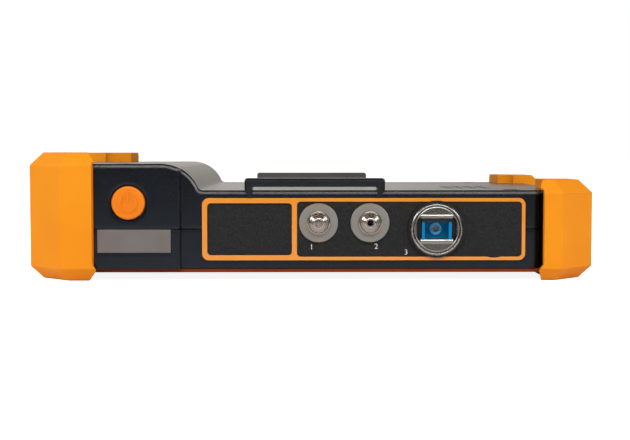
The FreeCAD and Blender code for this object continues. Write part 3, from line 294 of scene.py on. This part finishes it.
rubber = moulded("Moulded grey silicone", "#3c4045", "#454a50", 0.6, 0.25, 0.01)
pale_ink = moulded("Pale screen ink", "#cfd0cf", "#dcdddc", 0.6, 0.3, 0.003)
mark_radius, mark_line, sunk_in, mark_thick = 1.6 * MM, 0.5 * MM, 0.05 * MM, 0.09 * MM
for number, sides in enumerate((4, 32, 3, 6, 32), start=1):
    node = f"key_{number}"
    softened(node, 0.5, rubber)
    spot = middle(node)
    spot.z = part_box(node)[0].z + sunk_in
    mark = begin(f"key_mark_{number}", bpy.ops.mesh.primitive_circle_add, vertices=sides, radius=mark_radius,
                 fill_type="NGON", location=spot)
    bpy.ops.object.mode_set(mode="EDIT")
    bpy.ops.mesh.select_all(action="SELECT")
    bpy.ops.mesh.inset(thickness=mark_line)
    bpy.ops.mesh.delete(type="ONLY_FACE")
    bpy.ops.mesh.select_all(action="SELECT")
    bpy.ops.mesh.extrude_region_move(TRANSFORM_OT_translate={"value": (0, 0, -mark_thick)})
    bpy.ops.mesh.select_all(action="SELECT")
    bpy.ops.mesh.normals_make_consistent(inside=False)
    bpy.ops.object.mode_set(mode="OBJECT")
    finish(mark, pale_ink, node, stands_for=False)
dress(moulded("Black silicone mat", "#141415", "#1a1a1c", 0.65), "key_mat")
guides, shader = new_material("Frosted polycarbonate")
feed(guides, shader, {"Base Color": blend(guides, speckle(guides, 2), "#dfe3e2", "#eef1f0"),
                      "Roughness": 0.35, "IOR": 1.58, "Subsurface Weight": 0.4, "Subsurface Scale": 1 * MM})
dress(guides, "light_guides")


# Inside: green laminate boards, a die-cast optical module, a wound fibre on its spool, the battery and
# the plain moulded or plated parts that are bought in. None of it shows while the housing is closed.
board = moulded("Green solder mask over laminate", "#0b3f22", "#10562f", 0.35, 0.8, 0.02, cloud_mm=5)
dress(board, "main_board", "key_board", "switch_board")
dress(moulded("Nylon 66", "#1f2124", "#26282c", 0.45),
      "battery_tray", "fibre_spool", "power_switch", "speaker")
dress(moulded("Blue shrink sleeve", "#1c4f8f", "#2259a0", 0.35, 1.2, 0.03), "battery_pack")
dress(moulded("Yellow fibre jacket", "#dcb322", "#e6bd2c", 0.45, 0.9, 0.1, cloud_mm=6), "fibre_coil")
dress(moulded("Blue connector plastic", "#14589a", "#1a63a8", 0.35), "pigtail_connector")


def metal(name, colour, rough, grain_mm=0.8, depth_mm=0.004):
    """A bare or plated metal with a faint uneven polish."""
    material, shader = new_material(name)
    polish = speckle(material, grain_mm, detail=3.0)
    feed(material, shader, {"Base Color": linear(colour), "Metallic": 1.0,
                            "Roughness": spread(material, polish, rough * 0.75, rough * 1.25),
                            "Normal": relief(material, polish, depth_mm)})
    return material


dress(metal("Die-cast zinc", "#8e8f91", 0.45, 0.6), "optical_module", "light_source", "light_detector")
dress(metal("Black oxide steel", "#3a3a3d", 0.35), "housing_screws", "board_screws", "loop_screws")


# Side sockets: tin-plated steel network and USB sockets and a black charging socket, which stand in a
# black panel. The flap over them is moulded in the shell's ABS and turns on a steel pin.
dress(metal("Tin-plated steel", "#b9bab8", 0.28, 0.5), "lan_socket", "usb_sockets")
dress(moulded("Black glass-filled nylon", "#111214", "#17181b", 0.5, 0.3), "charge_socket", "socket_panel")
dress(metal("Ground steel", "#b0b0b2", 0.2), "hinge_pin")
softened("side_flap", 0.3, shell_abs)


# Battery door: a black ABS lid let into the bulge of the back, held by two plated screws. Its rim is
# rounded, so the gap round it reads as a dark line.
softened("battery_door", 0.3, shell_abs)
dress(metal("Zinc-plated steel", "#a9abad", 0.25, 0.5), "door_screws")


# Strap loops: bridges of glass-filled nylon screwed down from inside, one at each end of the back, for a
# hand strap. They are a shade greyer than the shell, and the far one is duller, its colour paler as painted
# light for the light it catches.
nylon = moulded("Glass-filled nylon", "#16191d", "#1c1f23", 0.24, 0.35, 0.01)
# The far loop's paler colour is painted light, for the light it catches.
far_nylon_painted_light = moulded("Glass-filled nylon with painted light", "#524d4d", "#5e5858", 0.5, 0.35, 0.01)
for end, plastic in (("near", nylon), ("far", far_nylon_painted_light)):
    softened("strap_loop_" + end, 0.45, plastic, segments=3)


# Rubber corners: soft TPU moulded over the four corners of the housing, orange right through. The facets
# are flat and dull with a fine sandy grain, and every edge is rounded by 0.7 mm.
tpu = moulded("Moulded orange TPU", "#f39106", "#f79709", 0.65, 0.45, 0.06, shine=0.25)
for corner in ("near_left", "near_right", "far_left", "far_right"):
    softened("bumper_" + corner, 0.7, tpu, segments=3, angle=15)


# Port frame: one smooth orange ABS moulding with rounded bars round both bays, pressed into the shells'
# window. It is glossier than the rubber, so each bar shows a lighter band.
frame_abs = moulded("Smooth orange ABS", "#ee9020", "#f19628", 0.2, 0.4, 0.004, shine=0.9)
softened("port_frame", 0.6, frame_abs, segments=4)


# Port panels: black plastic plates behind the frame, one blank and one for the ports, etched with a
# leather grain that stays dull from every side. The grain's cells are about a millimetre across.
leather, shader = new_material("Leather-grained black plastic")
place = add(leather, "TexCoord").outputs["Object"]
cells = add(leather, "TexVoronoi", {"Vector": place, "Scale": 1 / (1.2 * MM)}, feature="SMOOTH_F1")
creases = speckle(leather, 0.7, detail=4.0)
height = add(leather, "Math", {0: cells.outputs["Distance"], 1: creases}, operation="ADD").outputs[0]
feed(leather, shader, {"Base Color": blend(leather, creases, "#0b0b0d", "#1a1a1c", 0.4, 0.6),
                       "Roughness": 0.6, "IOR": 1.5, "Specular IOR Level": 0.35,
                       "Normal": relief(leather, height, 0.25, 1.0)})
dress(leather, "blank_panel", "port_panel")


# Ferrule ports: a bead-blasted aluminium flange held in the panel, and a turned nickel-plated adapter
# with a stepped nose round the ceramic sleeve. The left one holds the end of the instrument's own ferrule.
def turned(name, centre, steps, sides=72, ring=True):
    """A piece turned about a line along Y: a circle extruded through (radius, y) steps in mm, then closed."""
    radius, y = steps[0]
    piece = begin(name, bpy.ops.mesh.primitive_circle_add, vertices=sides, radius=radius * MM,
                  location=(centre.x, y * MM, centre.z), rotation=(math.radians(90), 0, 0))
    bpy.ops.object.transform_apply(location=True, rotation=True, scale=True)
    bpy.ops.object.mode_set(mode="EDIT")
    bpy.ops.mesh.select_all(action="SELECT")
    for (radius, y), (next_radius, next_y) in zip(steps, steps[1:]):
        bpy.ops.mesh.extrude_region_move(TRANSFORM_OT_translate={"value": (0, (next_y - y) * MM, 0)})
        bpy.ops.transform.resize(value=(next_radius / radius,) * 3,
                                 center_override=(centre.x, next_y * MM, centre.z))
    bpy.ops.mesh.select_all(action="DESELECT")
    bpy.ops.mesh.select_non_manifold()
    if ring:
        bpy.ops.mesh.bridge_edge_loops()
    else:
        bpy.ops.mesh.fill_holes(sides=0)
    bpy.ops.mesh.select_all(action="SELECT")
    bpy.ops.mesh.normals_make_consistent(inside=False)
    bpy.ops.object.mode_set(mode="OBJECT")
    return piece


def ferrule(name, material, sleeve, depth, root):
    """The end of a ferrule seen in its sleeve, from a depth in mm behind the sleeve's mouth to its root."""
    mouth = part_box(sleeve)[0].y / MM
    steps = [(1.2, mouth + root), (1.2, mouth + depth + 0.2), (1.0, mouth + depth)]
    stub = turned(name, middle(sleeve), steps, sides=48, ring=False)
    finish(stub, material, sleeve, stands_for=False)


blasted = metal("Bead-blasted aluminium", "#a39e98", 0.55, 0.2, 0.03)
nickel = metal("Turned nickel plate", "#bdb3aa", 0.24, 0.5)
ceramic = moulded("Zirconia ceramic", "#c9c6c2", "#d4d1cd", 0.2, 0.4, 0.002)
dress(blasted, "source_flange", "meter_flange")
for port in ("source", "meter"):
    adapter = port + "_adapter"
    low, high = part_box(adapter)
    tip, root, mouth = low.y / MM, high.y / MM, 1.35
    nose = turned(port + "_nose", middle(adapter), [
        (4.5, root), (4.5, tip + 3.1), (4.4, tip + 2.9), (4.1, tip + 2.8), (4.0, tip + 3.0), (3.9, tip + 3.0),
        (3.9, tip + 2.2), (3.8, tip + 1.9), (3.55, tip + 1.55), (3.25, tip + 1.3), (3.2, tip + 1.4),
        (3.1, tip + 1.4), (3.05, tip + 1.15), (2.8, tip + 0.85), (2.5, tip + 0.6), (2.45, tip + 0.7),
        (2.35, tip + 0.7), (2.3, tip + 0.45), (2.1, tip + 0.2), (1.85, tip + 0.05), (1.6, tip),
        (mouth + 0.08, tip + 0.05), (mouth, tip + 0.2), (mouth, tip + 1), (1.68, tip + 1.05), (1.68, root)])
    finish(nose, nickel, adapter, angle=25)
dress(ceramic, "source_sleeve", "meter_sleeve")
ferrule("source_ferrule", moulded("Grey ferrule ceramic", "#8f8986", "#989290", 0.3), "source_sleeve", 0.1, 9)


# Square plug port: a black collar, a chrome-plated ring with a rolled lip, and in it a nickel-plated rim
# and plate with two bright ledges, over a black well. A black bar over the top of the insert is painted shade
# for the shadow under the upper ledge. The blue insert carries the sleeve that takes the plug's ferrule.
chrome = metal("Chrome plate", "#a5a3a0", 0.26, 1.2)
satin_nickel = metal("Satin nickel plate", "#b3afaa", 0.34, 0.6, 0.01)
dull_nickel = metal("Dull nickel plate", "#77736a", 0.28, 0.7, 0.02)
black_nylon = moulded("Black collar plastic", "#08080a", "#0d0d0f", 0.4)
dress(black_nylon, "port_collar")
hub = middle("port_ring")
low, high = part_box("port_ring")
lip, root = low.y / MM, high.y / MM
ring = turned("port_ring_lip", hub, [
    (10.2, root), (10.2, lip + 1.0), (10.12, lip + 0.75), (9.9, lip + 0.4), (9.65, lip + 0.12), (9.45, lip),
    (9.28, lip + 0.03), (9.15, lip + 0.2), (9.08, lip + 0.6), (9.02, lip + 1.3), (9.0, root)], sides=96)
finish(ring, chrome, "port_ring", angle=50)
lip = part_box("plug_housing")[0].y / MM
rim = turned("plug_rim", hub, [
    (8.88, lip + 1), (8.88, lip + 0.3), (8.7, lip + 0.1), (8.45, lip), (8.3, lip + 0.1), (8.15, lip + 0.5),
    (8.15, lip + 1)], sides=96)
finish(rim, satin_nickel, "plug_housing", stands_for=False, angle=50)


def block(name, low, high):
    """A cube added between two corners, for a cut or a bar to start from."""
    piece = begin(name, bpy.ops.mesh.primitive_cube_add, size=1, location=(low + high) / 2)
    piece.scale = high - low
    bpy.ops.object.transform_apply(location=True, rotation=True, scale=True)
    return piece


def cut_away(piece, cutter):
    """Takes one piece's space out of another and removes the cutter."""
    select_only(piece)
    cut = piece.modifiers.new("cut", "BOOLEAN")
    cut.object = cutter
    cut.solver = "EXACT"
    bpy.ops.object.modifier_apply(modifier="cut")
    bpy.data.objects.remove(cutter)


low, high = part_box("plug_housing")
face, back = low.y / MM + 0.7, high.y / MM
window_low, window_high = Vector((-7.7, -20, -4.2)) * MM, Vector((7.7, 20, 4.35)) * MM
plate = turned("plug_plate", hub, [(8.9, face + 1.6), (8.9, face + 0.2), (8.7, face)], sides=96, ring=False)
cut_away(plate, block("window", hub + window_low, hub + window_high))
round_edges(plate, 0.18)
finish(plate, dull_nickel, "plug_housing", stands_for=False)
well = turned("plug_well", hub, [(8.9, back), (8.9, face + 1.7)], sides=96, ring=False)
insert_low, insert_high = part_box("plug_shroud")
gap = Vector((0.1, 30, 0.1)) * MM
cut_away(well, block("insert_space", insert_low - gap, insert_high + gap))
finish(well, black_nylon, "plug_housing")
proud, sunk, ledge_round, slack = 0.65, 0.75, 1.3, 0.01
for name, half, bottom, top in (("ledge_over", 6.2, 4.25, 6.2), ("ledge_under", 6.3, -5.6, -3.4)):
    bar = block(name, Vector((hub.x - half * MM, (face - proud) * MM, hub.z + bottom * MM)),
                Vector((hub.x + half * MM, (face + sunk) * MM, hub.z + top * MM)))
    bpy.ops.object.mode_set(mode="EDIT")
    bpy.ops.mesh.select_all(action="DESELECT")
    bpy.ops.object.mode_set(mode="OBJECT")
    for edge in bar.data.edges:
        ends = [bar.data.vertices[i].co for i in edge.vertices]
        edge.select = all(p.z > hub.z + (top - slack) * MM and p.y < (face - proud + slack) * MM
                          for p in ends)
    bpy.ops.object.mode_set(mode="EDIT")
    bpy.ops.mesh.select_mode(type="EDGE")
    bpy.ops.mesh.bevel(offset=ledge_round * MM, segments=6)
    bpy.ops.mesh.select_mode(type="VERT")
    bpy.ops.object.mode_set(mode="OBJECT")
    round_edges(bar, 0.1, segments=1, angle=40)
    finish(bar, satin_nickel, "plug_housing", stands_for=False)
lap, forward, deep = 0.05 * MM, 0.35 * MM, 4 * MM
# The black bar over the top of the insert is painted shade, standing for the shadow under the upper ledge.
shade_bar = block("well_shade_bar", Vector((insert_low.x - lap, insert_low.y - forward, hub.z + 2.85 * MM)),
            Vector((insert_high.x + lap, insert_low.y + deep, hub.z + 4.3 * MM)))
round_edges(shade_bar, 0.25)
finish(shade_bar, black_nylon, "plug_housing", stands_for=False)
dress(moulded("Blue connector shell", "#0078b4", "#0584c0", 0.4, 0.4, 0.004, shine=0.15), "plug_shroud")
dress(moulded("Pale blue sleeve plastic", "#55b8ea", "#66c3f2", 0.3, 0.4, 0.003, shine=0.3), "plug_sleeve")
ferrule("inner_ferrule", moulded("Grey ceramic ferrule", "#8d8790", "#968f99", 0.25), "plug_sleeve", 1.1, 8)


# Port numbers: plain white figures pad-printed on the grained panel below each port. The ink is thin and
# matt, in two close tones.
ink = moulded("White pad-print ink", "#c4c4c2", "#e6e6e4", 0.6, 0.3, 0.004, cloud_mm=0.8)
panel_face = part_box("port_panel")[0].y
for figure, port, across, down in (("1", "source_adapter", -2.7, 9.4), ("2", "meter_adapter", 2.4, 9.2),
                                   ("3", "port_ring", -11.7, 8.9)):
    spot = middle(port)
    number = begin("port_number_" + figure, bpy.ops.object.text_add, rotation=(math.radians(90), 0, 0),
                   location=(spot.x + across * MM, panel_face, spot.z - down * MM))
    number.data.body = figure
    number.data.size = 2.9 * MM
    number.data.align_x = number.data.align_y = "CENTER"
    number.data.extrude = 0.04 * MM
    bpy.ops.object.convert(target="MESH")
    bpy.ops.object.mode_set(mode="EDIT")
    bpy.ops.mesh.select_all(action="SELECT")
    bpy.ops.mesh.remove_doubles(threshold=0.001 * MM)
    bpy.ops.object.mode_set(mode="OBJECT")
    finish(number, ink, "port_panel", stands_for=False)


# Power button: an orange silicone cap in a ring of shadow, with a raised standby mark. It is a little
# glossier than the corners, and the mark shows only by its edges.
silicone = moulded("Moulded orange silicone", "#f07f06", "#f3840a", 0.4, 0.3, 0.012, shine=0.35)
softened("power_button", 0.6, silicone, segments=3)
cap = middle("power_button")
cap.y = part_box("power_button")[0].y
arc_radius, line_wide = 3.1 * MM, 0.9 * MM
arc = begin("standby_arc", bpy.ops.mesh.primitive_plane_add, size=1, rotation=(0, math.radians(90), 0),
            location=cap + Vector((0, 0, arc_radius)))
arc.scale = (line_wide, line_wide, 1)
bpy.ops.object.transform_apply(location=True, rotation=True, scale=True)
bpy.ops.object.mode_set(mode="EDIT")
bpy.ops.mesh.select_all(action="SELECT")
bpy.ops.mesh.spin(steps=40, angle=math.radians(290), center=cap, axis=(0, 1, 0))
bpy.ops.mesh.select_all(action="SELECT")
bpy.ops.mesh.remove_doubles(threshold=0.001 * MM)
bpy.ops.mesh.normals_make_consistent(inside=False)
bpy.ops.transform.rotate(value=math.radians(35), orient_axis="Y", center_override=cap)
bpy.ops.object.mode_set(mode="OBJECT")
finish(arc, silicone, "power_button", stands_for=False)
stroke = block("standby_stroke", cap + Vector((-line_wide / 2, -line_wide / 2, 0.9 * MM)),
               cap + Vector((line_wide / 2, 0.3 * MM, 4.1 * MM)))
round_edges(stroke, 0.12)
finish(stroke, silicone, "power_button", stands_for=False)


# Name plate: a thin plate lacquered satin grey in a shallow seat under the button, left bare. The lacquer
# shows faint wide clouds, and the plate's edge is hardly broken.
lacquer = moulded("Satin grey lacquer", "#6d6662", "#797370", 0.38, 0.4, 0.008, cloud_mm=14)
softened("name_plate", 0.15, lacquer)


# Stage: white paper, a long soft box above the camera and two at the sides, and a long lens held a little
# over the connector edge, tilted down and turned slightly to the right. Only the camera sees the paper and
# the backdrop as white.
near_face = 0.466
camera_data = bpy.data.cameras.new("Camera")
camera_data.sensor_width = 36
camera_data.lens = 70.075
camera = bpy.data.objects.new("Camera", camera_data)
camera.location = (-0.0042, cad_box[0][1] - near_face, 0.0487)
camera.rotation_euler = (math.radians(90 - 3.0807), 0, math.radians(-0.6541))
bpy.context.scene.collection.objects.link(camera)
bpy.context.scene.camera = camera

floor = begin("floor", bpy.ops.mesh.primitive_plane_add, size=8, location=(0, 3.5, 0))
paper, shader = new_material("White paper")
seen = add(paper, "LightPath").outputs["Is Camera Ray"]
glow = add(paper, "MapRange", {"Value": seen, "To Min": 0.0, "To Max": 0.9}).outputs["Result"]
feed(paper, shader, {"Base Color": linear("#f2f2f2"), "Roughness": 0.9, "Emission Color": (1, 1, 1, 1),
                     "Emission Strength": glow})
floor.data.materials.append(paper)


def soft_box(name, place, size, power):
    """A rectangular soft light aimed at the object."""
    data = bpy.data.lights.new(name, "AREA")
    data.shape = "RECTANGLE"
    data.size, data.size_y = size
    data.energy = power
    box = bpy.data.objects.new(name, data)
    box.location = place
    box.rotation_euler = (Vector((0, 0, 0.02)) - Vector(place)).to_track_quat("-Z", "Y").to_euler()
    bpy.context.scene.collection.objects.link(box)


soft_box("front_box", (0, -1.05, 1.0), (1.8, 0.35), 16.5)
soft_box("left_box", (-1.2, -0.35, 0.8), (0.8, 0.5), 6)
soft_box("right_box", (1.2, -0.35, 0.8), (0.8, 0.5), 6)

studio = bpy.data.worlds.new("Studio")
studio.use_nodes = True
bpy.context.scene.world = studio
# All but the camera see a dim room, which brightens towards the back and darkens towards the right.
heading = add(studio, "SeparateXYZ", {0: add(studio, "TexCoord").outputs["Generated"]}).outputs
behind = add(studio, "MapRange", {"Value": heading["Y"], "From Min": 0.2, "From Max": 0.98,
                                  "To Min": 0.1, "To Max": 0.85}).outputs["Result"]
aside = add(studio, "MapRange", {"Value": heading["X"], "From Min": 0.05, "From Max": 0.3,
                                 "To Min": 1.0, "To Max": 0.3}).outputs["Result"]
room = add(studio, "Math", {0: behind, 1: aside}, operation="MULTIPLY").outputs[0]
seen = add(studio, "LightPath").outputs["Is Camera Ray"]
backdrop = add(studio, "Mix", {0: seen, 6: linear("#fff8ee"), 7: (1, 1, 1, 1)}, data_type="RGBA").outputs[2]
strength = add(studio, "Mix", {0: seen, 2: room, 3: 1.0}).outputs[0]
feed(studio, studio.node_tree.nodes["Background"], {"Color": backdrop, "Strength": strength})

bpy.context.scene.view_settings.view_transform = "Standard"
